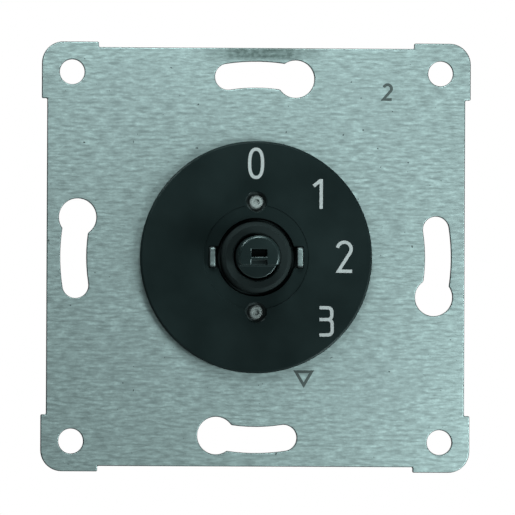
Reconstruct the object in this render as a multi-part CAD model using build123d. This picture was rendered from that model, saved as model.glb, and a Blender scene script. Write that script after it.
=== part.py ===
from build123d import *
import os
from math import cos, hypot, radians, sin

# Flush-mounted rotary step switch with four positions, 0 to 3, without its knob and cover.
# Millimetres. Seen from the front, X is right and Z is up, and Y runs into the wall.
# The rear face of the support plate is y = 0, and the shaft turns about the Y axis.

# Support plate
EAR_SPAN = 71.0
EAR_PROUD = 0.9
EAR_LENGTH = 9.4
EAR_CORNER_R = 3.5
PLATE_T = 1.0
CORNER_HOLE_INSET = 5.0
CORNER_HOLE_R = 2.05
KEYHOLE_INSET = 4.4
KEYHOLE_WIDTH = 4.3
KEYHOLE_HEAD_R = 3.1
KEYHOLE_HEAD_ANGLE = 12.4
KEYHOLE_END_ANGLE = 9.0
LUG_WIDTH = 3.4
LUG_PROUD = 0.7
LUG_GAP = 0.3
LUG_RELIEF = 0.5
LUG_BEND_R = 0.8
LUG_TIP_CHAMFER = 0.3

# Scale disc
DISC_R = 19.2
DISC_T = 1.2
DISC_BORE_R = 6.5
DISC_CHAMFER = 0.3
DISC_DISH_R = 8.7
DISC_DISH_DEPTH = 0.12
DISC_NOTCH_CLEAR = 0.1
DISC_WINDOW_CHAMFER = 0.2

# Rivets that hold the plate on the front housing
RIVET_PITCH = 18.2
RIVET_SHANK_R = 1.0
RIVET_HEAD_R = 1.22
RIVET_HEAD_T = 0.6
RIVET_DIMPLE_R = 0.5
RIVET_HOLE_CLEAR = 0.4
RIVET_TAIL_R = 1.7
RIVET_TAIL_T = 0.7

# Moulded housing
HOUSING_SIZE = 40.0
HOUSING_CORNER = 3.0
HOUSING_DEPTH = 24.0
HOUSING_CHAMFER = 0.6
FRONT_BASE_T = 3.0
CAVITY_WALL = 0.7
COLLAR_BASE_R = 6.3
COLLAR_R = 5.95
COLLAR_TOP_R = 5.7
COLLAR_PROUD = 3.8
COLLAR_CHAMFER = 0.5
COLLAR_BORE_R = 3.8
COLLAR_BORE_CHAMFER = 0.25
PLATE_HOLE_CLEAR = 0.15
FIT_CLEAR = 0.1

# Snap hooks of the front housing, one on each side
HOOK_WIDTH = 8.0
HOOK_T = 1.2
HOOK_LENGTH = 8.5
HOOK_BARB = 0.7
HOOK_BARB_LENGTH = 1.8

# Core pockets in the rear of the housing
CORE_INNER_R = 4.6
CORE_OUTER_R = 9.8
CORE_DEPTH = 5.5
CORE_RIB_T = 1.4

# Shaft
SHAFT_R = 3.5
SHAFT_FRONT = 11.0
SHAFT_CHAMFER = 0.35
SHAFT_FLAT = 1.4
SHAFT_FLAT_LENGTH = 6.4
SOCKET_WIDTH = 2.6
SOCKET_TOP = 1.2
SOCKET_DEPTH = 4.0
SOCKET_RIB_Z = -0.3
SOCKET_RIB_T = 0.45
SHAFT_SQUARE = 5.0
SHAFT_SQUARE_R = 3.4
JOURNAL_R = 2.5
JOURNAL_LENGTH = 5.5
BEARING_CLEAR = 0.05
END_PLAY = 0.05
WHEEL_BORE_CLEAR = 0.03

# Thrust flange, its washer and the end stops
WASHER_T = 0.3
WASHER_R = 4.9
FLANGE_R = 5.0
FLANGE_T = 1.0
STOP_LUG_R = 6.7
STOP_LUG_ANGLE = 157.5
STOP_LUG_HALF_ANGLE = 10.0
STOP_WALL_IN_R = 5.3
STOP_WALL_OUT_R = 7.0
STOP_WALL_T = 1.1
STOP_PLAY_ANGLE = 1.5
TURN_RANGE = 135.0

# Detent wheel and spring
DETENT_T = 3.0
DETENT_NOTCHES = 8
DETENT_LAND = 2.25
DETENT_NOTCH_OUTSET = 0.75
DETENT_SPRING_T = 0.45
DETENT_SPRING_WIDTH = 2.6
DETENT_SPRING_GAP = 2.1
DETENT_SPRING_END_GAP = 0.3
DETENT_NOSE_CLEAR = 0.15
DETENT_NOSE_TOP = 1.0
DETENT_NOSE_FOOT = 5.2
DETENT_BEND_R = 0.45
SPRING_POST_WIDTH = 2.1
SPRING_POST_HEIGHT = 2.4

# Cam wheel, which closes one contact in each of the positions 1, 2 and 3
CAM_T = 4.0
CAM_HUB_R = 5.0
CAM_HUB_T = 1.0
CAM_NOTCH_DEPTH = 1.2
CAM_NOTCH_HALF_ANGLE = 15.0
CAM_NOTCH_ANGLES = (135.0, 270.0)

# Retaining clip behind the cam wheel
CLIP_T = 0.6
CLIP_R = 4.2
CLIP_GROOVE_R = 2.1
CLIP_MOUTH = 3.0
CLIP_CLEAR = 0.04

# Contact springs and contact buttons
LEAF_T = 0.4
FOLLOWER_DEPTH = 1.85
FOLLOWER_CLEAR = 0.05
FOLLOWER_TOP = 1.4
FOLLOWER_FOOT = 4.8
LEAF_BEND_R = 0.6
LEAF_TIP_LENGTH = 1.2
CONTACT_INSET = 0.3
CONTACT_R = 1.3
CONTACT_T = 0.6
CONTACT_GAP = 1.2
ANCHOR_RIVET_R = 0.8
ANCHOR_HEAD_R = 1.4
ANCHOR_HEAD_T = 0.35

# Terminal bars
BAR_T = 1.0
BAR_GAP = 0.5
BAR_BEND_R = 0.4
BAR_POCKET_GAP = 1.2
BAR_FLANGE_LENGTH = 2.15
RING_CAVITY_GAP = 0.2
RING_CAM_OVERLAP = 0.5
RING_START_ANGLE = -60.0
RING_END_ANGLE = 146.0
TAB_FRONT_GAP = 0.2

# Lift terminals: cage, screw, and the pocket that guides them
CAGE_WIDTH = 7.4
CAGE_LENGTH = 5.0
CAGE_WALL = 1.0
CAGE_EDGE = 0.4
CAGE_NUT_T = 2.0
CAGE_TAIL_ROOM = 1.2
CAGE_TRAVEL = 3.0
CAGE_STOP_GAP = 0.2
TONGUE_CLEAR = 0.05
TONGUE_OVERHANG = 0.5
SIDE_WALL = 1.6
ENTRY_WALL = 2.8
WIRE_WIDTH = 3.8
WIRE_SPACE = 3.4
SCREW_R = 1.75
SCREW_CLEAR = 0.05
SCREW_TIP_GAP = 0.05
SCREW_HEAD_R = 2.75
SCREW_HEAD_T = 2.0
SCREW_SLOT = 0.9
SCREW_SLOT_DEPTH = 1.1
SCREW_WELL_CLEAR = 0.15

# Turns, clockwise from the front, that bring the upper left station to each terminal
STATION_ANGLES = {"1": 0, "3": 90, "common": 180, "2": 270}
CONTACT_STATIONS = ("1", "2", "3")

# Places on the plate
PLATE_SIZE = EAR_SPAN - 2 * EAR_PROUD
CORNER_HOLE_PITCH = EAR_SPAN - 2 * CORNER_HOLE_INSET
KEYHOLE_PITCH_R = PLATE_SIZE / 2 - KEYHOLE_INSET
LUG_X = COLLAR_BASE_R + PLATE_HOLE_CLEAR + LUG_GAP

# Depths, front to back
DISC_FRONT = -PLATE_T - DISC_T
FLANGE_Y = FRONT_BASE_T + WASHER_T + END_PLAY
DETENT_Y = FLANGE_Y + FLANGE_T
CAM_HUB_Y = DETENT_Y + DETENT_T
CAM_Y = CAM_HUB_Y + CAM_HUB_T
CLIP_Y = CAM_Y + CAM_T
JOURNAL_Y = CLIP_Y + CLIP_T
JOURNAL_END_Y = JOURNAL_Y + JOURNAL_LENGTH
BAR_Y = CAM_Y + CAM_T + BAR_GAP
FLOOR_Y = BAR_Y + BAR_T
CAGE_Y = BAR_Y - WIRE_SPACE - CAGE_WALL
CAGE_NUT_Y = BAR_Y + BAR_T + CAGE_TAIL_ROOM
CAGE_END_Y = CAGE_NUT_Y + CAGE_NUT_T
POCKET_END_Y = CAGE_END_Y + CAGE_TRAVEL + CAGE_STOP_GAP
SCREW_TIP_Y = FLOOR_Y + SCREW_TIP_GAP
SCREW_HEAD_Y = POCKET_END_Y + CAGE_STOP_GAP

# Places across, in the upper left station
HALF = HOUSING_SIZE / 2
POCKET_WIDTH = CAGE_WIDTH + 2 * FIT_CLEAR
POCKET_LENGTH = CAGE_LENGTH + 2 * FIT_CLEAR
CELL_X = -(HALF - SIDE_WALL - POCKET_WIDTH / 2)
CELL_Z = HALF - ENTRY_WALL - POCKET_LENGTH / 2
CAVITY_HALF = CELL_Z - POCKET_LENGTH / 2 - CAVITY_WALL
TONGUE_HALF = CAGE_WIDTH / 2 - CAGE_WALL - TONGUE_CLEAR
TONGUE_END_Z = CELL_Z + CAGE_LENGTH / 2 + TONGUE_OVERHANG

# The works, from the terminal pockets inwards to the cam wheel
BAR_OUT_Z = CELL_Z - POCKET_LENGTH / 2 - BAR_POCKET_GAP
LEAF_OUT_Z = BAR_OUT_Z - BAR_T
LEAF_IN_Z = LEAF_OUT_Z - LEAF_T
LEAF_MID_Y = CAM_Y + CAM_T / 2
CAM_R = LEAF_IN_Z - FOLLOWER_DEPTH - FOLLOWER_CLEAR
CONTACT_X = CAM_R - CONTACT_INSET
TAB_TOP_Z = LEAF_IN_Z - CONTACT_T - CONTACT_GAP - CONTACT_T
BAR_START_X = CELL_X - TONGUE_HALF
BAR_FLANGE_X = CELL_X + TONGUE_HALF + BAR_FLANGE_LENGTH
ANCHOR_X = BAR_FLANGE_X - BAR_FLANGE_LENGTH / 2
RING_OUT_R = CAVITY_HALF - RING_CAVITY_GAP
RING_IN_R = CAM_R - RING_CAM_OVERLAP
DETENT_R = CAM_R
DETENT_NOTCH_CENTRE = DETENT_R + DETENT_NOTCH_OUTSET
DETENT_NOTCH_HALF = DETENT_R * sin(radians(180 / DETENT_NOTCHES)) - DETENT_LAND / 2
DETENT_NOTCH_R = hypot(DETENT_NOTCH_HALF, DETENT_NOTCH_OUTSET)
DETENT_SPRING_Z = -(DETENT_R + DETENT_SPRING_GAP)
DETENT_SPRING_HALF = CAVITY_HALF - DETENT_SPRING_END_GAP


# Helpers: a sketch is drawn in the front view and filled between two depths

def slab(sketch, y_front, y_rear):
    plane = Plane(origin=(0, y_rear, 0), x_dir=(1, 0, 0), z_dir=(0, -1, 0))
    return extrude(plane * sketch, amount=y_rear - y_front)


def rect(x0, x1, z0, z1):
    return Pos((x0 + x1) / 2, (z0 + z1) / 2) * Rectangle(abs(x1 - x0), abs(z1 - z0))


def block(x0, x1, z0, z1, y_front, y_rear):
    return slab(rect(x0, x1, z0, z1), y_front, y_rear)


def rod(radius, y_front, y_rear, x=0.0, z=0.0):
    return slab(Pos(x, z) * Circle(radius), y_front, y_rear)


def sector(r_in, r_out, start, end):
    outer = CenterArc((0, 0), r_out, start, end - start)
    inner = CenterArc((0, 0), r_in, start, end - start)
    return make_face(outer + Line(outer @ 1, inner @ 1) + inner + Line(inner @ 0, outer @ 0))


def countersink(radius, size, y_front, z=0.0):
    """Cone that breaks the edge of a bore whose mouth faces the front."""
    return Pos(0, y_front + size / 2, z) * Rot(90, 0, 0) * Cone(radius, radius + size, size)


def turned(piece, angle):
    return Rotation(0, angle, 0) * piece


def at_all_sides(piece):
    return [turned(piece, angle) for angle in range(0, 360, 90)]


def chamfered_square(size, corner):
    return chamfer(Rectangle(size, size).vertices(), corner)


# Support plate: one stamped sheet with corner ears, keyholes and two lugs bent to the front

def keyhole():
    head = 90 - KEYHOLE_HEAD_ANGLE
    end = 90 + KEYHOLE_END_ANGLE
    slot = SlotArc(CenterArc((0, 0), KEYHOLE_PITCH_R, head, end - head), KEYHOLE_WIDTH)
    centre = (KEYHOLE_PITCH_R * cos(radians(head)), KEYHOLE_PITCH_R * sin(radians(head)))
    return slot + Pos(*centre) * Circle(KEYHOLE_HEAD_R)


def plate_outline():
    outline = Rectangle(PLATE_SIZE, PLATE_SIZE)
    ear_centre = (EAR_SPAN - EAR_LENGTH) / 2
    for x in (-ear_centre, ear_centre):
        for z in (-ear_centre, ear_centre):
            outline += Pos(x, z) * Rectangle(EAR_LENGTH, EAR_LENGTH)
    limit = fillet(Rectangle(EAR_SPAN, EAR_SPAN).vertices(), EAR_CORNER_R)
    return outline & limit


def mounting_plate():
    sketch = plate_outline()
    hole_x = CORNER_HOLE_PITCH / 2
    for x in (-hole_x, hole_x):
        for z in (-hole_x, hole_x):
            sketch -= Pos(x, z) * Circle(CORNER_HOLE_R)
    for side in range(4):
        sketch -= Rot(0, 0, 90 * side) * keyhole()
    for z in (-RIVET_PITCH / 2, RIVET_PITCH / 2):
        sketch -= Pos(0, z) * Circle(RIVET_SHANK_R)
    sketch -= Circle(COLLAR_BASE_R + PLATE_HOLE_CLEAR)
    lug_end = LUG_X + PLATE_T
    relief = LUG_WIDTH / 2 + LUG_RELIEF
    sketch -= rect(-lug_end, lug_end, -relief, relief)
    plate = slab(sketch, -PLATE_T, 0)
    for side in (-1, 1):
        plate += bent_lug(side)
    return plate


def bent_lug(side):
    front = DISC_FRONT - LUG_PROUD
    lug = block(LUG_X, LUG_X + PLATE_T, -LUG_WIDTH / 2, LUG_WIDTH / 2, front, 0)
    inner_edges = lug.edges().filter_by(Axis.Z).sort_by(Axis.X)[:2]
    lug = fillet(inner_edges.sort_by(Axis.Y)[-1:], LUG_BEND_R)
    tip_edges = lug.edges().filter_by(Axis.X).sort_by(Axis.Y)[:2]
    lug = chamfer(tip_edges, LUG_TIP_CHAMFER)
    return lug if side > 0 else turned(lug, 180)


# Scale disc: moulded, dished round its bore, open over the rivets and the lugs

def scale_disc():
    disc = rod(DISC_R, DISC_FRONT, -PLATE_T)
    disc = chamfer(disc.edges().sort_by(Axis.Y)[:1], DISC_CHAMFER)
    disc -= rod(DISC_DISH_R, DISC_FRONT, DISC_FRONT + DISC_DISH_DEPTH)
    disc -= rod(DISC_BORE_R, DISC_FRONT, -PLATE_T)
    window_r = RIVET_HEAD_R + RIVET_HOLE_CLEAR
    for z in (-RIVET_PITCH / 2, RIVET_PITCH / 2):
        disc -= rod(window_r, DISC_FRONT, -PLATE_T, 0, z)
        disc -= countersink(window_r, DISC_WINDOW_CHAMFER, DISC_FRONT, z)
    reach = LUG_X + PLATE_T + DISC_NOTCH_CLEAR
    half = LUG_WIDTH / 2 + DISC_NOTCH_CLEAR
    disc -= block(-reach, reach, -half, half, DISC_FRONT, -PLATE_T)
    return disc


def assembly_rivet(z):
    tail_y = FRONT_BASE_T - RIVET_TAIL_T - FIT_CLEAR
    head_y = -PLATE_T - RIVET_HEAD_T
    rivet = rod(RIVET_HEAD_R, head_y, -PLATE_T, 0, z)
    rivet = chamfer(rivet.edges().sort_by(Axis.Y)[:1], RIVET_HEAD_T / 2)
    rivet -= rod(RIVET_DIMPLE_R, head_y, head_y + RIVET_HEAD_T / 2, 0, z)
    rivet += rod(RIVET_SHANK_R, -PLATE_T, tail_y, 0, z)
    return rivet + rod(RIVET_TAIL_R, tail_y, tail_y + RIVET_TAIL_T, 0, z)


# Front housing: lid with bearing collar, end stops, spring posts, hold-downs and snap hooks

def collar():
    profile = make_face(
        Polyline(
            (0, FRONT_BASE_T),
            (COLLAR_BASE_R, FRONT_BASE_T),
            (COLLAR_BASE_R, -PLATE_T),
            (COLLAR_R, -PLATE_T),
            (COLLAR_TOP_R, -COLLAR_PROUD),
            (0, -COLLAR_PROUD),
            close=True,
        )
    )
    rim = profile.vertices().sort_by(Axis.Y)[:2].sort_by(Axis.X)[-1:]
    return revolve(chamfer(rim, COLLAR_CHAMFER), Axis.Y)


def snap_hook():
    barb_y = FRONT_BASE_T + HOOK_LENGTH
    hook = block(-HOOK_WIDTH / 2, HOOK_WIDTH / 2, HALF - HOOK_T, HALF, FRONT_BASE_T, barb_y)
    barb = Plane.YZ * make_face(
        Polyline(
            (barb_y - HOOK_BARB_LENGTH, HALF - HOOK_T),
            (barb_y - HOOK_BARB_LENGTH, HALF - HOOK_T - HOOK_BARB),
            (barb_y, HALF - HOOK_T),
            close=True,
        )
    )
    return hook + extrude(barb, amount=HOOK_WIDTH / 2, both=True)


def hook_recess():
    half = HOOK_WIDTH / 2 + FIT_CLEAR
    floor = HALF - HOOK_T - FIT_CLEAR
    barb_y = FRONT_BASE_T + HOOK_LENGTH
    channel = block(-half, half, floor, HALF, FRONT_BASE_T, barb_y + FIT_CLEAR)
    catch_front = barb_y - HOOK_BARB_LENGTH - FIT_CLEAR
    return channel + block(-half, half, floor - HOOK_BARB, HALF, catch_front, barb_y + FIT_CLEAR)


def hold_down():
    """Post over the cage pocket and rib over the bar channel of the upper left station."""
    post = block(
        CELL_X - CAGE_WIDTH / 2,
        CELL_X + CAGE_WIDTH / 2,
        CELL_Z - CAGE_LENGTH / 2,
        CELL_Z + CAGE_LENGTH / 2,
        FRONT_BASE_T,
        CAGE_Y - CAGE_STOP_GAP,
    )
    rib = block(
        BAR_START_X,
        CELL_X + TONGUE_HALF / 2,
        LEAF_IN_Z,
        BAR_OUT_Z,
        FRONT_BASE_T,
        CAM_Y - CAGE_STOP_GAP,
    )
    return post + rib


def spring_post():
    outer = CAVITY_HALF - 2 * FIT_CLEAR
    top = DETENT_SPRING_Z + SPRING_POST_HEIGHT / 2
    bottom = DETENT_SPRING_Z - SPRING_POST_HEIGHT / 2
    rear = DETENT_Y + DETENT_T
    post = block(outer - SPRING_POST_WIDTH, outer, bottom, top, FRONT_BASE_T, rear)
    slot_half = (DETENT_SPRING_T + FIT_CLEAR) / 2
    return post - block(
        outer - SPRING_POST_WIDTH,
        outer,
        DETENT_SPRING_Z - slot_half,
        DETENT_SPRING_Z + slot_half,
        DETENT_Y,
        rear,
    )


def front_housing():
    housing = slab(chamfered_square(HOUSING_SIZE, HOUSING_CORNER), 0, FRONT_BASE_T)
    housing += collar()
    housing -= rod(SHAFT_R + BEARING_CLEAR, -COLLAR_PROUD, FRONT_BASE_T)
    housing -= rod(COLLAR_BORE_R, -COLLAR_PROUD, -PLATE_T)
    housing -= countersink(COLLAR_BORE_R, COLLAR_BORE_CHAMFER, -COLLAR_PROUD)
    start = STOP_LUG_ANGLE + STOP_LUG_HALF_ANGLE + STOP_PLAY_ANGLE
    end = STOP_LUG_ANGLE - TURN_RANGE - STOP_LUG_HALF_ANGLE - STOP_PLAY_ANGLE + 360
    wall = sector(STOP_WALL_IN_R, STOP_WALL_OUT_R, start, end)
    housing += slab(wall, FRONT_BASE_T, FRONT_BASE_T + STOP_WALL_T)
    for piece in at_all_sides(snap_hook()) + at_all_sides(hold_down()):
        housing += piece
    post = spring_post()
    housing += post
    housing += mirror(post, Plane.YZ)
    for z in (-RIVET_PITCH / 2, RIVET_PITCH / 2):
        housing -= rod(RIVET_SHANK_R, 0, FRONT_BASE_T, 0, z)
        seat_y = FRONT_BASE_T - RIVET_TAIL_T - FIT_CLEAR
        housing -= rod(RIVET_TAIL_R + FIT_CLEAR, seat_y, FRONT_BASE_T, 0, z)
    return housing


# Rear housing: moulded base with the works cavity, four terminal pockets and their openings

def station_cut():
    """Cage pocket, bar channel, wire entry and screw well of the upper left station."""
    pocket = block(
        CELL_X - POCKET_WIDTH / 2,
        CELL_X + POCKET_WIDTH / 2,
        CELL_Z - POCKET_LENGTH / 2,
        CELL_Z + POCKET_LENGTH / 2,
        FRONT_BASE_T,
        POCKET_END_Y,
    )
    start = BAR_START_X - FIT_CLEAR
    channel = block(start, 0, LEAF_IN_Z - CONTACT_T, BAR_OUT_Z + FIT_CLEAR, FRONT_BASE_T, FLOOR_Y)
    tongue_end = CELL_X + TONGUE_HALF + FIT_CLEAR
    gate = block(start, CELL_X + POCKET_WIDTH / 2, LEAF_OUT_Z, CELL_Z, FRONT_BASE_T, FLOOR_Y)
    seat = block(start, tongue_end, CELL_Z, TONGUE_END_Z + FIT_CLEAR, FRONT_BASE_T, FLOOR_Y)
    entry = block(CELL_X - WIRE_WIDTH / 2, CELL_X + WIRE_WIDTH / 2, CELL_Z, HALF, CAGE_Y + CAGE_WALL, BAR_Y)
    well = rod(SCREW_HEAD_R + SCREW_WELL_CLEAR, CAGE_NUT_Y, HOUSING_DEPTH, CELL_X, CELL_Z)
    return pocket + channel + gate + seat + entry + well


def core_cut():
    ring = Circle(CORE_OUTER_R) - Circle(CORE_INNER_R)
    for angle in (0, 90):
        ring -= Rot(0, 0, angle) * Rectangle(2 * CORE_OUTER_R, CORE_RIB_T)
    return slab(ring, HOUSING_DEPTH - CORE_DEPTH, HOUSING_DEPTH)


def rear_housing():
    housing = slab(chamfered_square(HOUSING_SIZE, HOUSING_CORNER), FRONT_BASE_T, HOUSING_DEPTH)
    rear_edges = housing.edges().filter_by_position(Axis.Y, HOUSING_DEPTH, HOUSING_DEPTH)
    housing = chamfer(rear_edges, HOUSING_CHAMFER)
    housing -= slab(Rectangle(2 * CAVITY_HALF, 2 * CAVITY_HALF), FRONT_BASE_T, FLOOR_Y)
    housing -= rod(JOURNAL_R + BEARING_CLEAR, FLOOR_Y, JOURNAL_END_Y + 2 * FIT_CLEAR)
    for piece in at_all_sides(station_cut()) + at_all_sides(hook_recess()):
        housing -= piece
    return housing - core_cut()


# Shaft: D end with a socket for the knob, bearing, thrust flange, square for the wheels, journal

def shaft():
    body = rod(SHAFT_R, -SHAFT_FRONT, FLANGE_Y)
    body = chamfer(body.edges().sort_by(Axis.Y)[:1], SHAFT_CHAMFER)
    body += rod(FLANGE_R, FLANGE_Y, DETENT_Y)
    lug_start = STOP_LUG_ANGLE - STOP_LUG_HALF_ANGLE
    lug_end = STOP_LUG_ANGLE + STOP_LUG_HALF_ANGLE
    body += slab(sector(SHAFT_R, STOP_LUG_R, lug_start, lug_end), FLANGE_Y, DETENT_Y)
    square = Rectangle(SHAFT_SQUARE, SHAFT_SQUARE) & Circle(SHAFT_SQUARE_R)
    body += slab(square, DETENT_Y, CLIP_Y)
    body += rod(CLIP_GROOVE_R, CLIP_Y, JOURNAL_Y)
    body += rod(JOURNAL_R, JOURNAL_Y, JOURNAL_END_Y)
    flat_end = -SHAFT_FRONT + SHAFT_FLAT_LENGTH
    body -= block(-SHAFT_R, SHAFT_R, -SHAFT_R, -SHAFT_FLAT, -SHAFT_FRONT, flat_end)
    return body - knob_socket()


def knob_socket():
    half = SOCKET_WIDTH / 2
    end = -SHAFT_FRONT + SOCKET_DEPTH
    socket = block(-half, half, -SHAFT_FLAT, SOCKET_TOP, -SHAFT_FRONT, end)
    rib_low = SOCKET_RIB_Z - SOCKET_RIB_T / 2
    rib_high = SOCKET_RIB_Z + SOCKET_RIB_T / 2
    return socket - block(-half, half, rib_low, rib_high, -SHAFT_FRONT, end)


def wheel_bore():
    size = SHAFT_SQUARE + 2 * WHEEL_BORE_CLEAR
    return Rectangle(size, size)


def thrust_washer():
    ring = Circle(WASHER_R) - Circle(SHAFT_R + BEARING_CLEAR)
    return slab(ring, FRONT_BASE_T, FRONT_BASE_T + WASHER_T)


def detent_wheel():
    star = Circle(DETENT_R)
    for notch in range(DETENT_NOTCHES):
        angle = 270 + 360 / DETENT_NOTCHES * notch
        star -= Rot(0, 0, angle) * Pos(DETENT_NOTCH_CENTRE, 0) * Circle(DETENT_NOTCH_R)
    return slab(star - wheel_bore(), DETENT_Y, CAM_HUB_Y)


def cam_wheel():
    floor_r = CAM_R - CAM_NOTCH_DEPTH
    outline = Circle(CAM_R)
    for angle in CAM_NOTCH_ANGLES:
        start = angle - CAM_NOTCH_HALF_ANGLE
        outline -= sector(floor_r, CAM_R + CAM_NOTCH_DEPTH, start, start + 2 * CAM_NOTCH_HALF_ANGLE)
    wheel = slab(outline - wheel_bore(), CAM_Y, CLIP_Y)
    return wheel + slab(Circle(CAM_HUB_R) - wheel_bore(), CAM_HUB_Y, CAM_Y)


def shaft_circlip():
    clip = Circle(CLIP_R) - Circle(CLIP_GROOVE_R + CLIP_CLEAR)
    clip -= rect(-CLIP_MOUTH / 2, CLIP_MOUTH / 2, -CLIP_R, 0)
    return slab(clip, CLIP_Y, JOURNAL_Y)


# Bent springs: strips traced along their centre lines

def strip(points, bend_r, thickness, y_front, y_rear):
    return slab(trace(FilletPolyline(*points, radius=bend_r), thickness), y_front, y_rear)


def detent_spring():
    wheel_floor = DETENT_NOTCH_CENTRE - DETENT_NOTCH_R
    nose_z = -(wheel_floor + DETENT_NOSE_CLEAR + DETENT_SPRING_T / 2)
    points = (
        (-DETENT_SPRING_HALF, DETENT_SPRING_Z),
        (-DETENT_NOSE_FOOT / 2, DETENT_SPRING_Z),
        (-DETENT_NOSE_TOP / 2, nose_z),
        (DETENT_NOSE_TOP / 2, nose_z),
        (DETENT_NOSE_FOOT / 2, DETENT_SPRING_Z),
        (DETENT_SPRING_HALF, DETENT_SPRING_Z),
    )
    y_front = DETENT_Y + (DETENT_T - DETENT_SPRING_WIDTH) / 2
    return strip(points, DETENT_BEND_R, DETENT_SPRING_T, y_front, y_front + DETENT_SPRING_WIDTH)


def contact_spring():
    middle = LEAF_IN_Z + LEAF_T / 2
    follower_z = middle - FOLLOWER_DEPTH
    points = (
        (BAR_START_X, middle),
        (-FOLLOWER_FOOT / 2, middle),
        (-FOLLOWER_TOP / 2, follower_z),
        (FOLLOWER_TOP / 2, follower_z),
        (FOLLOWER_FOOT / 2, middle),
        (CONTACT_X + LEAF_TIP_LENGTH, middle),
    )
    leaf = strip(points, LEAF_BEND_R, LEAF_T, CAM_Y, CLIP_Y)
    return leaf - pin_along_z(ANCHOR_RIVET_R, ANCHOR_X, LEAF_IN_Z, LEAF_OUT_Z)


def pin_along_z(radius, x, z0, z1):
    return Pos(x, LEAF_MID_Y, (z0 + z1) / 2) * Cylinder(radius, z1 - z0)


def spring_contact():
    return pin_along_z(CONTACT_R, CONTACT_X, LEAF_IN_Z - CONTACT_T, LEAF_IN_Z)


def bar_contact():
    return pin_along_z(CONTACT_R, CONTACT_X, TAB_TOP_Z, TAB_TOP_Z + CONTACT_T)


def spring_rivet():
    rivet = pin_along_z(ANCHOR_RIVET_R, ANCHOR_X, LEAF_IN_Z, BAR_OUT_Z)
    return rivet + pin_along_z(ANCHOR_HEAD_R, ANCHOR_X, LEAF_IN_Z - ANCHOR_HEAD_T, LEAF_IN_Z)


# Terminal bars: bent strips that carry the springs and end as tongues in the cages

def terminal_bar():
    profile = make_face(
        Polyline(
            (CAM_Y, LEAF_OUT_Z),
            (FLOOR_Y, LEAF_OUT_Z),
            (FLOOR_Y, TONGUE_END_Z),
            (BAR_Y, TONGUE_END_Z),
            (BAR_Y, BAR_OUT_Z),
            (CAM_Y, BAR_OUT_Z),
            close=True,
        )
    )
    inner = profile.vertices().sort_by_distance((BAR_Y, BAR_OUT_Z, 0))[0]
    profile = fillet([inner], BAR_BEND_R)
    outer = profile.vertices().sort_by_distance((FLOOR_Y, LEAF_OUT_Z, 0))[0]
    profile = fillet([outer], BAR_BEND_R + BAR_T / 2)
    width = BAR_FLANGE_X - BAR_START_X
    bar = Pos(BAR_START_X, 0, 0) * extrude(Plane.YZ * profile, amount=width)
    bar -= block(CELL_X + TONGUE_HALF, BAR_FLANGE_X, BAR_OUT_Z, TONGUE_END_Z, CAM_Y, FLOOR_Y)
    return bar - pin_along_z(ANCHOR_RIVET_R, ANCHOR_X, LEAF_OUT_Z, BAR_OUT_Z)


def contact_tab():
    left = CONTACT_X - CONTACT_R
    right = CONTACT_X + CONTACT_R
    return block(left, right, TAB_TOP_Z - BAR_T, TAB_TOP_Z, CAM_Y + TAB_FRONT_GAP, BAR_Y)


def common_bar():
    blank = sector(RING_IN_R, RING_OUT_R, RING_START_ANGLE, RING_END_ANGLE)
    low = -BAR_OUT_Z
    high = -(LEAF_IN_Z - CONTACT_T + FIT_CLEAR)
    blank += rect(RING_IN_R * sin(radians(45)), -BAR_START_X, low, high)
    blank += rect(-CELL_X - TONGUE_HALF, -BAR_START_X, -TONGUE_END_Z, high)
    bar = slab(blank, BAR_Y, FLOOR_Y)
    for name in CONTACT_STATIONS:
        bar += turned(contact_tab(), STATION_ANGLES[name])
    return bar


# Lift terminal: a rectangular cage with a tapped rear wall, and its captive screw

def terminal_cage():
    outer = block(
        CELL_X - CAGE_WIDTH / 2,
        CELL_X + CAGE_WIDTH / 2,
        CELL_Z - CAGE_LENGTH / 2,
        CELL_Z + CAGE_LENGTH / 2,
        CAGE_Y,
        CAGE_END_Y,
    )
    outer = chamfer(outer.edges().filter_by(Axis.Z), CAGE_EDGE)
    inner = block(
        CELL_X - CAGE_WIDTH / 2 + CAGE_WALL,
        CELL_X + CAGE_WIDTH / 2 - CAGE_WALL,
        CELL_Z - CAGE_LENGTH / 2,
        CELL_Z + CAGE_LENGTH / 2,
        CAGE_Y + CAGE_WALL,
        CAGE_NUT_Y,
    )
    return outer - inner - rod(SCREW_R + SCREW_CLEAR, CAGE_NUT_Y, CAGE_END_Y, CELL_X, CELL_Z)


def terminal_screw():
    head_end = SCREW_HEAD_Y + SCREW_HEAD_T
    head = rod(SCREW_HEAD_R, SCREW_HEAD_Y, head_end, CELL_X, CELL_Z)
    shank = rod(SCREW_R, SCREW_TIP_Y, SCREW_HEAD_Y, CELL_X, CELL_Z)
    slot_x = (CELL_X - SCREW_HEAD_R, CELL_X + SCREW_HEAD_R)
    slot_z = (CELL_Z - SCREW_SLOT / 2, CELL_Z + SCREW_SLOT / 2)
    return head + shank - block(*slot_x, *slot_z, head_end - SCREW_SLOT_DEPTH, head_end)


def write(name, *solids):
    shape = solids[0] if len(solids) == 1 else Compound(children=list(solids))
    export_step(shape, f"parts/{name}.step")


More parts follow.
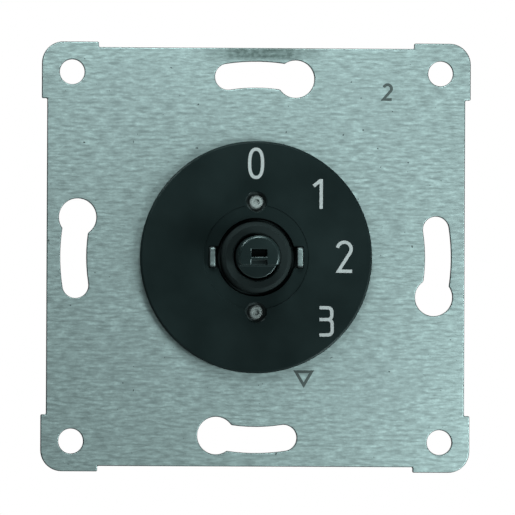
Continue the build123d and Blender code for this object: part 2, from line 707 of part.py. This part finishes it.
def main():
    os.makedirs("parts", exist_ok=True)
    write("mounting_plate", mounting_plate())
    write("scale_disc", scale_disc())
    write("assembly_rivets", *[assembly_rivet(z) for z in (-RIVET_PITCH / 2, RIVET_PITCH / 2)])
    write("front_housing", front_housing())
    write("rear_housing", rear_housing())
    write("shaft", shaft())
    write("thrust_washer", thrust_washer())
    write("detent_wheel", detent_wheel())
    write("detent_spring", detent_spring())
    write("cam_wheel", cam_wheel())
    write("shaft_circlip", shaft_circlip())
    contact_angles = [STATION_ANGLES[name] for name in CONTACT_STATIONS]
    for name in CONTACT_STATIONS:
        write(f"contact_spring_{name}", turned(contact_spring(), STATION_ANGLES[name]))
        write(f"terminal_bar_{name}", turned(terminal_bar(), STATION_ANGLES[name]))
    write("spring_contacts", *[turned(spring_contact(), angle) for angle in contact_angles])
    write("spring_rivets", *[turned(spring_rivet(), angle) for angle in contact_angles])
    write("bar_contacts", *[turned(bar_contact(), angle) for angle in contact_angles])
    write("common_bar", common_bar())
    for name, angle in STATION_ANGLES.items():
        write(f"terminal_cage_{name}", turned(terminal_cage(), angle))
        write(f"terminal_screw_{name}", turned(terminal_screw(), angle))


main()
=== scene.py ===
import math

import bmesh
import bpy
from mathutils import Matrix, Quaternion, Vector


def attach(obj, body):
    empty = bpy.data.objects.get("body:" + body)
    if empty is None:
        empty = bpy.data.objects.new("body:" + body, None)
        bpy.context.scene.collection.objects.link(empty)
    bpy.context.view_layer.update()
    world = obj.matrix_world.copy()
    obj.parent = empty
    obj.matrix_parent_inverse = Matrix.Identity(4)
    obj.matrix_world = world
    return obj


# Looks of a flush-mounted rotary step switch. Blender works in metres, and MM turns millimetres
# into metres. Seen from the front, X is right, Z is up and Y runs into the wall.

MM = 0.001

# The photograph's frame, measured on its pixels
IMAGE_PX = 515
PX_PER_MM = 6.05
AIM_X = 0.27
AIM_Z = -0.04
CAMERA_DISTANCE = 2.0
CAMERA_AZIMUTH = -3.3
CAMERA_ELEVATION = -0.8
CAMERA_ROLL = 0.25
SENSOR_WIDTH = 36.0

# Plain studio. A light has its place and its size in metres and its power in watts.
FLOOR_SIZE = 8.0
FLOOR_Z = -0.25
FLOOR_GLOW = 0.2
WORLD_LEVEL = 0.045
LIGHTS = {
    "key_upper_left": ((-0.085, -0.07, 0.105), 0.05, 0.068),
    "glint_left": ((-0.11, -0.03, 0.115), 0.03, 0.08),
    "front": ((0.25, -0.5, 0.2), 0.25, 0.1),
    "glint_right": ((0.09, -0.03, -0.105), 0.03, 0.12),
    "top": ((0.0, -0.08, 0.12), 0.06, 0.27),
    "right": ((0.13, -0.105, -0.05), 0.07, 0.375),
    "rear_left": ((-0.5, 0.55, 0.35), 0.5, 2.6),
    "rear_right": ((0.5, 0.5, 0.45), 0.5, 2.0),
}

# Faces of the plate and of the scale disc
PLATE_FRONT = -1.0
DISC_FRONT = -2.2

# Printed digits and stamped marks
DIGIT_STROKE = 0.54
DIGIT_PROUD = 0.03
STAMP_STROKE = 0.48
STAMP_PROUD = 0.02
MARK_SINK = 0.05
STROKE_LIFT = 0.004
ARC_STEP = 12.0
ZERO_X = -0.1
ZERO_Z = 15.5
ZERO_HALF_WIDTH = 1.07
ZERO_HALF_HEIGHT = 2.33
ZERO_SQUARENESS = 0.82

# Rounding of the edges, as a press or a mould leaves them. The mesh is welded and its flats joined first.
EDGE_ROUND = {
    "mounting_plate": 0.2,
    "scale_disc": 0.03,
    "front_housing": 0.1,
    "rear_housing": 0.15,
    "shaft": 0.18,
    "assembly_rivets": 0.1,
}
SMALL_EDGE_ROUND = 0.05
EDGE_ANGLE = 40.0
EDGE_SEGMENTS = 2
WELD_GAP = 0.001
FLAT_ANGLE = 0.5

# The usual span of a noise, and its inner part for more contrast
NOISE_SPAN = (0.3, 0.7)
NOISE_CORE = (0.35, 0.65)

# Patterns of the zinc coat: their scales, along X, Y and Z or all ways, and how strongly each darkens it
STREAK_SCALE = (0.45, 1.0, 2.3)
BAND_SCALE = (0.12, 1.0, 0.9)
BAND_SHADE = 0.25
GRAIN_SCALE = (1.5, 1.0, 2.0)
GRAIN_SHADE = 0.55
SPANGLE_SCALE = 0.7
SPANGLE_SPAN = (0.4, 0.6)
SPANGLE_SHADE = 0.3
PATCH_SCALE = 0.09
PATCH_SHADE = 0.2
SPECK_SCALE = 1.3
SPECK_SPAN = (0.775, 0.81)
SPECK_SHADE = 0.8
ZINC_ROUGHNESS = (0.42, 0.56)
ZINC_RELIEF = 0.05
ZINC_METALLIC = 0.75

# Sheared edges of the sheet, bare steel darkened further as painted shade, told by how squarely a face looks
# to the front or the back
EDGE_SPAN = (0.8, 0.995)

# Bent lugs: the sheet's metal in front of this depth, the step over which they begin, and the painted shade
# that darkens them
LUG_DEPTH = -1.6
LUG_STEP = 0.3
LUG_SHADE = 0.5

# Painted shadow on the sheet under the scale disc, from the unshaded ring round the collar outwards
UNSHADED_R = 7.0
UNSHADED_STEP = 0.5
COVERED_R = 17.5
COVERED_STEP = 1.0
DISC_SHADOW = 0.9

# Painted shade of a slight bend in the narrow strip between the top slot and the plate's upper edge
BEND_SHADE_X = 1.0
BEND_SHADE_Z = 32.3
BEND_SHADE_RISE = 0.9
BEND_SHADE_HALF = 10.5
BEND_SHADE_FADE = 6.5
BEND_SHADE_STRENGTH = 0.9
MOTTLE_SCALE = 1.2
MOTTLE_SPAN = (0.35, 0.6)
MOTTLE_LEAST = 0.65

# Plastics and metals: slow flow marks or stains, a roughness that swings either way, and a fine relief
FLOW_SCALE = 0.12
PLASTIC_SWING = 0.05
STAIN_SCALE = 0.4
METAL_SWING = 0.06
METAL_RELIEF = 0.02
PLASTIC_BUMP = 0.3
METAL_BUMP = 0.2

# Wear of the printed and the struck marks
WEAR_SCALE = 3.0
WEAR_SPAN = (0.35, 0.7)
INK_FADE = 0.82
INK_ROUGHNESS = 0.5

# Floor paper
FIBRE_SCALE = 0.5
FLOOR_ROUGHNESS = 0.8


def rgb(red, green, blue):
    """An opaque colour."""
    return (red, green, blue, 1.0)


WHITE = rgb(1.0, 1.0, 1.0)
WORLD_FILL = rgb(0.97, 1.0, 1.0)
FLOOR_PAPER = (rgb(0.8, 0.8, 0.8), rgb(0.84, 0.84, 0.84))
STEEL_DARK = rgb(0.186, 0.268, 0.265)
STEEL_LIGHT = rgb(0.317, 0.459, 0.452)
# Painted shade of a slight bend above the top slot
STEEL_BEND_SHADE = rgb(0.055, 0.093, 0.087)
# Dark steel for the specks and the sheared edges, also used as painted shade on the edges and lugs and as
# painted shadow under the scale disc
DARK_STEEL_AND_SHADE = rgb(0.03, 0.045, 0.045)
DIGIT_INK = rgb(0.2, 0.245, 0.245)
STAMP_SHADOW = rgb(0.02, 0.038, 0.036)
PLASTIC_SHINE = rgb(0.7, 1.0, 1.0)

# The darkest and the lightest colour of each finish
SCALE_BLACK = (rgb(0.0032, 0.0065, 0.0065), rgb(0.0048, 0.0095, 0.0095))
MATT_BLACK = (rgb(0.006, 0.0095, 0.0095), rgb(0.0075, 0.012, 0.012))
SHAFT_BLACK = (rgb(0.004, 0.008, 0.008), rgb(0.006, 0.012, 0.012))
BASE_GREY = (rgb(0.36, 0.37, 0.355), rgb(0.385, 0.395, 0.38))
NATURAL = (rgb(0.62, 0.6, 0.54), rgb(0.7, 0.68, 0.62))
RIVET_ZINC = (rgb(0.105, 0.142, 0.138), rgb(0.155, 0.2, 0.195))
SPRING_STEEL = (rgb(0.5, 0.5, 0.5), rgb(0.62, 0.62, 0.61))
SPRING_BRONZE = (rgb(0.6, 0.36, 0.2), rgb(0.72, 0.46, 0.28))
SILVER = (rgb(0.7, 0.69, 0.66), rgb(0.82, 0.81, 0.78))
BRASS = (rgb(0.62, 0.47, 0.2), rgb(0.75, 0.6, 0.3))
TERMINAL_ZINC = (rgb(0.48, 0.5, 0.5), rgb(0.64, 0.65, 0.62))


# Node graphs

def new_graph(name):
    """A new material and its node tree."""
    material = bpy.data.materials.new(name)
    material.use_nodes = True
    return material, material.node_tree


def node(tree, kind, inputs=None, **settings):
    """Adds a node. An input is a value or another node's output socket."""
    made = tree.nodes.new(kind)
    for key, value in settings.items():
        setattr(made, key, value)
    for key, value in (inputs or {}).items():
        if isinstance(value, bpy.types.NodeSocket):
            tree.links.new(value, made.inputs[key])
        else:
            made.inputs[key].default_value = value
    return made


def object_mm(tree):
    """Object coordinates in millimetres."""
    coordinates = node(tree, "ShaderNodeTexCoord").outputs["Object"]
    return node(tree, "ShaderNodeVectorMath", {0: coordinates, 3: 1 / MM}, operation="SCALE").outputs[0]


def stretched(tree, vector, scale):
    """Coordinates scaled along X, Y and Z."""
    return node(tree, "ShaderNodeMapping", {"Vector": vector, "Scale": scale}).outputs[0]


def noise(tree, vector, scale, detail, roughness=0.5):
    """Noise between 0 and 1, mostly near the middle."""
    inputs = {"Vector": vector, "Scale": scale, "Detail": detail, "Roughness": roughness}
    return node(tree, "ShaderNodeTexNoise", inputs).outputs[0]


def remap(tree, value, low, high, new_low, new_high):
    """Turns the range low to high into new_low to new_high, and holds the ends outside it."""
    inputs = {0: value, 1: low, 2: high, 3: new_low, 4: new_high}
    return node(tree, "ShaderNodeMapRange", inputs).outputs[0]


def math_node(tree, operation, first, second=0.0):
    """The result of a sum, a product or the like."""
    return node(tree, "ShaderNodeMath", {0: first, 1: second}, operation=operation).outputs[0]


def product(tree, first, *others):
    """The product of several values."""
    for other in others:
        first = math_node(tree, "MULTIPLY", first, other)
    return first


def mix_colour(tree, factor, first, second):
    """The first colour where the factor is 0, the second where it is 1."""
    inputs = {0: factor, 6: first, 7: second}
    return node(tree, "ShaderNodeMix", inputs, data_type="RGBA").outputs[2]


def bump(tree, height, strength, depth):
    """A normal tilted by a relief of the given depth in millimetres."""
    inputs = {"Height": height, "Strength": strength, "Distance": depth * MM}
    return node(tree, "ShaderNodeBump", inputs).outputs[0]


def connect(tree, colour, roughness, normal=None, **values):
    """Feeds the material's shader. Values that don't vary are set on its sockets."""
    shader = tree.nodes["Principled BSDF"]
    links = {"Base Color": colour, "Roughness": roughness, "Normal": normal}
    for key, source in links.items():
        if isinstance(source, bpy.types.NodeSocket):
            tree.links.new(source, shader.inputs[key])
        elif source is not None:
            shader.inputs[key].default_value = source
    for key, value in values.items():
        shader.inputs[key.replace("_", " ")].default_value = value


# Materials

def painted_bend_shade(tree, place, across, height):
    """Painted shade of a slight bend between the top slot and the plate's upper edge."""
    aside = math_node(tree, "ABSOLUTE", math_node(tree, "SUBTRACT", across, BEND_SHADE_X))
    inside = remap(tree, aside, BEND_SHADE_HALF - BEND_SHADE_FADE, BEND_SHADE_HALF, 1.0, 0.0)
    mottle = remap(tree, noise(tree, place, MOTTLE_SCALE, 2.0), *MOTTLE_SPAN, MOTTLE_LEAST, 1.0)
    upper = remap(tree, height, BEND_SHADE_Z, BEND_SHADE_Z + BEND_SHADE_RISE, 0.0, BEND_SHADE_STRENGTH)
    return product(tree, inside, upper, mottle)


def painted_shadow_under_disc(tree, place, depth):
    """Painted shadow on the sheet below the scale disc, except round the collar."""
    reach = node(tree, "ShaderNodeVectorMath", {0: place}, operation="LENGTH").outputs["Value"]
    covered = remap(tree, reach, COVERED_R, COVERED_R + COVERED_STEP, DISC_SHADOW, 0.0)
    past_collar = remap(tree, reach, UNSHADED_R, UNSHADED_R + UNSHADED_STEP, 0.0, 1.0)
    on_sheet = remap(tree, depth, LUG_DEPTH, LUG_DEPTH + LUG_STEP, 0.0, 1.0)
    return product(tree, past_collar, on_sheet, covered)


def sheared_edge_and_shade(tree):
    """1 on the faces that look sideways, which a press has sheared and which are painted dark as bare steel
    and as shade, and 0 on the flat of the sheet.
    """
    normal = node(tree, "ShaderNodeNewGeometry").outputs["Normal"]
    along_y = node(tree, "ShaderNodeSeparateXYZ", {0: normal}).outputs[1]
    return remap(tree, math_node(tree, "ABSOLUTE", along_y), *EDGE_SPAN, 1.0, 0.0)


def galvanised_steel(name):
    """Rolled zinc coat: level streaks, fine grain, a few dark specks and bare steel on the edges, with
    painted shade on the edges, the lugs and above the top slot, and a painted shadow under the scale disc.
    """
    material, tree = new_graph(name)
    place = object_mm(tree)
    across, depth, height = node(tree, "ShaderNodeSeparateXYZ", {0: place}).outputs
    streaks = noise(tree, stretched(tree, place, STREAK_SCALE), 1.0, 3.0, 0.6)
    bands = noise(tree, stretched(tree, place, BAND_SCALE), 1.0, 2.0)
    grain = noise(tree, stretched(tree, place, GRAIN_SCALE), 1.0, 2.0, 0.6)
    spangle = noise(tree, place, SPANGLE_SCALE, 2.0)
    patches = noise(tree, place, PATCH_SCALE, 2.0)
    specks = noise(tree, place, SPECK_SCALE, 1.0)
    colour = mix_colour(tree, remap(tree, streaks, *NOISE_CORE, 0.0, 1.0), STEEL_DARK, STEEL_LIGHT)
    layers = (
        (remap(tree, grain, *NOISE_CORE, GRAIN_SHADE, 0.0), STEEL_DARK),
        (remap(tree, spangle, *SPANGLE_SPAN, SPANGLE_SHADE, 0.0), STEEL_DARK),
        (remap(tree, bands, *NOISE_CORE, BAND_SHADE, 0.0), STEEL_DARK),
        (remap(tree, patches, *NOISE_CORE, 0.0, PATCH_SHADE), STEEL_DARK),
        (remap(tree, specks, *SPECK_SPAN, 0.0, SPECK_SHADE), DARK_STEEL_AND_SHADE),
        # painted shade on the bent lugs
        (remap(tree, depth, LUG_DEPTH, LUG_DEPTH + LUG_STEP, LUG_SHADE, 0.0), DARK_STEEL_AND_SHADE),
        # painted shade of a slight bend above the top slot
        (painted_bend_shade(tree, place, across, height), STEEL_BEND_SHADE),
        # painted shadow on the sheet under the scale disc
        (painted_shadow_under_disc(tree, place, depth), DARK_STEEL_AND_SHADE),
        # bare steel on the sheared edges, painted darker as shade too
        (sheared_edge_and_shade(tree), DARK_STEEL_AND_SHADE),
    )
    for factor, shade in layers:
        colour = mix_colour(tree, factor, colour, shade)
    roughness = remap(tree, streaks, *NOISE_SPAN, *ZINC_ROUGHNESS)
    relief = bump(tree, math_node(tree, "ADD", streaks, grain), METAL_BUMP, ZINC_RELIEF)
    connect(tree, colour, roughness, relief, Metallic=ZINC_METALLIC)
    return material


def plastic(name, dark, light, roughness, grain, relief, specular=0.5):
    """Moulded plastic with a fine eroded surface and slow flow marks."""
    material, tree = new_graph(name)
    place = object_mm(tree)
    flow = noise(tree, place, FLOW_SCALE, 3.0)
    colour = mix_colour(tree, remap(tree, flow, *NOISE_SPAN, 0.0, 1.0), dark, light)
    rough = remap(tree, flow, *NOISE_SPAN, roughness - PLASTIC_SWING, roughness + PLASTIC_SWING)
    surface = bump(tree, noise(tree, place, grain, 2.0), PLASTIC_BUMP, relief)
    connect(tree, colour, rough, surface, Specular_IOR_Level=specular, Specular_Tint=PLASTIC_SHINE)
    return material


def metal(name, dark, light, roughness, scale, metallic=1.0):
    """Metal with fine drawing lines and slow stains."""
    material, tree = new_graph(name)
    place = object_mm(tree)
    lines = noise(tree, stretched(tree, place, scale), 1.0, 2.0)
    stains = noise(tree, place, STAIN_SCALE, 2.0)
    colour = mix_colour(tree, remap(tree, stains, *NOISE_SPAN, 0.0, 1.0), dark, light)
    rough = remap(tree, lines, *NOISE_SPAN, roughness - METAL_SWING, roughness + METAL_SWING)
    connect(tree, colour, rough, bump(tree, lines, METAL_BUMP, METAL_RELIEF), Metallic=metallic)
    return material


def print_ink(name, colour):
    """Printed or struck lines, slightly uneven."""
    material, tree = new_graph(name)
    wear = noise(tree, object_mm(tree), WEAR_SCALE, 2.0)
    faded = rgb(*(INK_FADE * channel for channel in colour[:3]))
    mixed = mix_colour(tree, remap(tree, wear, *WEAR_SPAN, 0.0, 1.0), colour, faded)
    connect(tree, mixed, INK_ROUGHNESS)
    return material


def finish_by_slot():
    """Each material slot of the record with its finish."""
    return {
        "plate_steel": galvanised_steel("galvanised_steel"),
        "scale_plastic": plastic("scale_black", *SCALE_BLACK, 0.4, grain=9.0, relief=0.01, specular=0.1),
        "rivet_steel": metal("rivet_zinc", *RIVET_ZINC, 0.75, (3, 3, 3), metallic=0.1),
        "housing_plastic": plastic("housing_black", *MATT_BLACK, 0.7, grain=6.0, relief=0.03, specular=0.05),
        "base_plastic": plastic("base_grey", *BASE_GREY, 0.55, grain=5.0, relief=0.03),
        "shaft_plastic": plastic("shaft_black", *SHAFT_BLACK, 0.3, grain=7.0, relief=0.01, specular=0.35),
        "wheel_plastic": plastic("wheel_white", *NATURAL, 0.45, grain=5.0, relief=0.02),
        "spring_steel": metal("spring_steel", *SPRING_STEEL, 0.28, (0.5, 6, 6)),
        "spring_bronze": metal("spring_bronze", *SPRING_BRONZE, 0.3, (0.5, 6, 6)),
        "contact_silver": metal("contact_silver", *SILVER, 0.25, (2, 2, 2)),
        "terminal_brass": metal("terminal_brass", *BRASS, 0.32, (0.5, 5, 5)),
        "terminal_steel": metal("terminal_zinc", *TERMINAL_ZINC, 0.34, (2, 6, 2)),
    }


def round_edges(part, width):
    """Joins the flat faces of a mesh and rounds its sharp edges, all as modifiers."""
    weld = part.modifiers.new("weld", "WELD")
    weld.merge_threshold = WELD_GAP * MM
    merge = part.modifiers.new("flat_faces", "DECIMATE")
    merge.decimate_type = "DISSOLVE"
    merge.angle_limit = math.radians(FLAT_ANGLE)
    bevel = part.modifiers.new("edge", "BEVEL")
    bevel.width = width * MM
    bevel.segments = EDGE_SEGMENTS
    bevel.limit_method = "ANGLE"
    bevel.angle_limit = math.radians(EDGE_ANGLE)
    bevel.use_clamp_overlap = False
    part.modifiers.new("normals", "WEIGHTED_NORMAL")


def dress_nodes(frame):
    """Gives each CAD node its finish and rounds its edges."""
    finishes = finish_by_slot()
    for name, part in frame["nodes"].items():
        slot = part.material_slots[0]
        slot.material = finishes[slot.material.name]
        round_edges(part, EDGE_ROUND.get(name, SMALL_EDGE_ROUND))


# Strokes: lines of one width, drawn in the front view and made as thin closed solids

def arc(x, z, radius, start, end):
    """Points on a circle from one angle to another, in degrees from the right."""
    steps = max(2, round(abs(end - start) / ARC_STEP))
    angles = [math.radians(start + (end - start) * i / steps) for i in range(steps + 1)]
    return [Vector((x + radius * math.cos(a), z + radius * math.sin(a))) for a in angles]


def run(*points):
    """Points of a straight or bent line."""
    return [Vector(point) for point in points]


def side_steps(points, closed):
    """For each point, the step to the line's left edge for a stroke of width 2."""
    steps = []
    count = len(points)
    for i, point in enumerate(points):
        before = points[i - 1] if i or closed else point
        after = points[(i + 1) % count] if i < count - 1 or closed else point
        ahead = (after - point).normalized() if after != point else (point - before).normalized()
        behind = (point - before).normalized() if before != point else ahead
        mean = (ahead + behind).normalized()
        steps.append(Vector((-mean.y, mean.x)) / max(0.5, mean.dot(ahead)))
    return steps


def add_stroke(mesh, points, closed, width, front, back):
    """Adds one line as a closed solid between the depths front and back."""
    rings = []
    for point, step in zip(points, side_steps(points, closed)):
        left = point + step * width / 2
        right = point - step * width / 2
        corners = ((left, front), (right, front), (right, back), (left, back))
        rings.append([mesh.verts.new((p.x * MM, y * MM, p.y * MM)) for p, y in corners])
    spans = list(zip(rings, rings[1:]))
    if closed:
        spans.append((rings[-1], rings[0]))
    for near, far in spans:
        for k in range(4):
            mesh.faces.new((near[k], near[(k + 1) % 4], far[(k + 1) % 4], far[k]))
    if not closed:
        mesh.faces.new(rings[0])
        mesh.faces.new(rings[-1])


def stroke_piece(name, lines, width, surface, proud, material):
    """One piece made of several strokes, each a hair prouder than the last. A line is (points, closed)."""
    mesh = bmesh.new()
    for index, (points, closed) in enumerate(lines):
        front = surface - proud - index * STROKE_LIFT
        add_stroke(mesh, points, closed, width, front, surface + MARK_SINK)
    bmesh.ops.recalc_face_normals(mesh, faces=mesh.faces)
    data = bpy.data.meshes.new(name)
    mesh.to_mesh(data)
    mesh.free()
    data.materials.append(material)
    piece = bpy.data.objects.new(name, data)
    bpy.context.scene.collection.objects.link(piece)
    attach(piece, "base")


def squared(value):
    """Turns a circle's coordinate into that of a slightly squarer oval."""
    return math.copysign(abs(value) ** ZERO_SQUARENESS, value)


def digit_zero():
    """A tall oval."""
    circle = arc(0, 0, 1.0, 0, 360 - ARC_STEP)
    oval = [
        Vector((ZERO_X + ZERO_HALF_WIDTH * squared(p.x), ZERO_Z + ZERO_HALF_HEIGHT * squared(p.y)))
        for p in circle
    ]
    return [(oval, True)]


def digit_one():
    """A flag and a stem."""
    flag = run((9.45, 11.8), (10.6, 12.75))
    stem = run((10.7, 12.95), (10.7, 8.05))
    return [(flag, False), (stem, False)]


def digit_two():
    """An arch that runs on into the foot."""
    arch = arc(14.57, 1.42, 1.13, 170, -35)
    foot = run((13.6, -2.25), (15.85, -2.25))
    return [(arch + foot, False)]


def bowl(x, upper, lower, radius):
    """The right side of a bowl of the 3, from its top corner down to its low corner."""
    return arc(x, upper, radius, 90, 0) + arc(x, lower, radius, 0, -90)


def digit_three():
    """Two bowls with a short bar between them."""
    top = run((10.5, -8.3)) + bowl(11.88, -8.95, -9.6, 0.65) + run((10.5, -10.25))
    low = run((11.2, -10.25)) + bowl(11.9, -10.95, -12.1, 0.7) + run((10.5, -12.8))
    return [(top, False), (low, False)]


def stamped_two():
    """The small 2 at the plate's upper right."""
    arch = arc(21.7, 28.0, 0.65, 160, -40)
    foot = run((21.0, 26.2), (22.4, 26.2))
    return [(arch + foot, False)]


def stamped_triangle():
    """A plain mark for the lower side, pointing down."""
    return [(run((6.7, -18.9), (9.3, -18.9), (8.0, -21.1)), True)]


def add_marks():
    """The printed digits of the disc and the stamped marks of the plate."""
    ink = print_ink("digit_ink", DIGIT_INK)
    stamp = print_ink("stamp_shadow", STAMP_SHADOW)
    digits = {
        "digit_0": digit_zero(),
        "digit_1": digit_one(),
        "digit_2": digit_two(),
        "digit_3": digit_three(),
    }
    for name, lines in digits.items():
        stroke_piece(name, lines, DIGIT_STROKE, DISC_FRONT, DIGIT_PROUD, ink)
    stamps = {"stamp_2": stamped_two(), "stamp_lower_side": stamped_triangle()}
    for name, lines in stamps.items():
        stroke_piece(name, lines, STAMP_STROKE, PLATE_FRONT, STAMP_PROUD, stamp)


# Camera, light and surroundings

def add_camera():
    """The camera of the photograph: straight on, a little from the left and from below."""
    azimuth = math.radians(CAMERA_AZIMUTH)
    elevation = math.radians(CAMERA_ELEVATION)
    back = Vector((
        math.sin(azimuth) * math.cos(elevation),
        -math.cos(azimuth) * math.cos(elevation),
        math.sin(elevation),
    ))
    data = bpy.data.cameras.new("camera")
    data.sensor_width = SENSOR_WIDTH
    data.lens = SENSOR_WIDTH * CAMERA_DISTANCE / (IMAGE_PX / PX_PER_MM * MM)
    camera = bpy.data.objects.new("camera", data)
    bpy.context.scene.collection.objects.link(camera)
    camera.location = Vector((AIM_X, PLATE_FRONT, AIM_Z)) * MM + back * CAMERA_DISTANCE
    camera.rotation_mode = "QUATERNION"
    roll = Quaternion((0, 0, 1), math.radians(CAMERA_ROLL))
    camera.rotation_quaternion = (-back).to_track_quat("-Z", "Y") @ roll
    bpy.context.scene.camera = camera


def add_area_light(name, place, size, power):
    """A square light that looks at the middle of the plate."""
    data = bpy.data.lights.new(name, "AREA")
    data.size = size
    data.energy = power
    light = bpy.data.objects.new(name, data)
    bpy.context.scene.collection.objects.link(light)
    light.location = place
    light.visible_camera = False
    light.rotation_mode = "QUATERNION"
    light.rotation_quaternion = (-Vector(place)).to_track_quat("-Z", "Y")


def add_lights():
    """All lamps of the studio."""
    for name, (place, size, power) in LIGHTS.items():
        add_area_light(name, place, size, power)


def add_world():
    """A weak fill from all sides, behind which the camera sees plain white."""
    world = bpy.data.worlds.new("studio")
    world.use_nodes = True
    tree = world.node_tree
    seen = node(tree, "ShaderNodeLightPath").outputs["Is Camera Ray"]
    fill = tree.nodes["Background"]
    fill.inputs["Strength"].default_value = WORLD_LEVEL
    fill.inputs["Color"].default_value = WORLD_FILL
    white = node(tree, "ShaderNodeBackground", {"Color": WHITE, "Strength": 1.0})
    both = node(tree, "ShaderNodeMixShader", {0: seen, 1: fill.outputs[0], 2: white.outputs[0]})
    tree.links.new(both.outputs[0], tree.nodes["World Output"].inputs["Surface"])
    bpy.context.scene.world = world
    bpy.context.scene.view_settings.view_transform = "Standard"


def add_stage():
    """A floor of pale paper that can be seen from above only."""
    paper, tree = new_graph("floor_paper")
    fibres = noise(tree, object_mm(tree), FIBRE_SCALE, 3.0)
    colour = mix_colour(tree, remap(tree, fibres, *NOISE_SPAN, 0.0, 1.0), *FLOOR_PAPER)
    connect(tree, colour, FLOOR_ROUGHNESS, Emission_Color=WHITE, Emission_Strength=FLOOR_GLOW)
    below = node(tree, "ShaderNodeNewGeometry").outputs["Backfacing"]
    shown = tree.nodes["Principled BSDF"].outputs[0]
    clear = node(tree, "ShaderNodeBsdfTransparent").outputs[0]
    one_sided = node(tree, "ShaderNodeMixShader", {0: below, 1: shown, 2: clear}).outputs[0]
    tree.links.new(one_sided, tree.nodes["Material Output"].inputs["Surface"])
    bpy.ops.mesh.primitive_plane_add(size=FLOOR_SIZE, location=(0, 0, FLOOR_Z))
    floor = bpy.context.object
    floor.name = "floor"
    floor.data.materials.append(paper)


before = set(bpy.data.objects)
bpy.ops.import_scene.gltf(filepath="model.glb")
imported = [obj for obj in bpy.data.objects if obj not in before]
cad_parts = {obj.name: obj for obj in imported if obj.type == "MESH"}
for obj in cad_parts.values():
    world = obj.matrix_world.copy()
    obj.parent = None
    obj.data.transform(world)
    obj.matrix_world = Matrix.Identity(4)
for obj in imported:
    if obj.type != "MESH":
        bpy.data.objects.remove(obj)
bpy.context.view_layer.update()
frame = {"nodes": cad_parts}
dress_nodes(frame)
add_marks()
add_camera()
add_lights()
add_world()
add_stage()
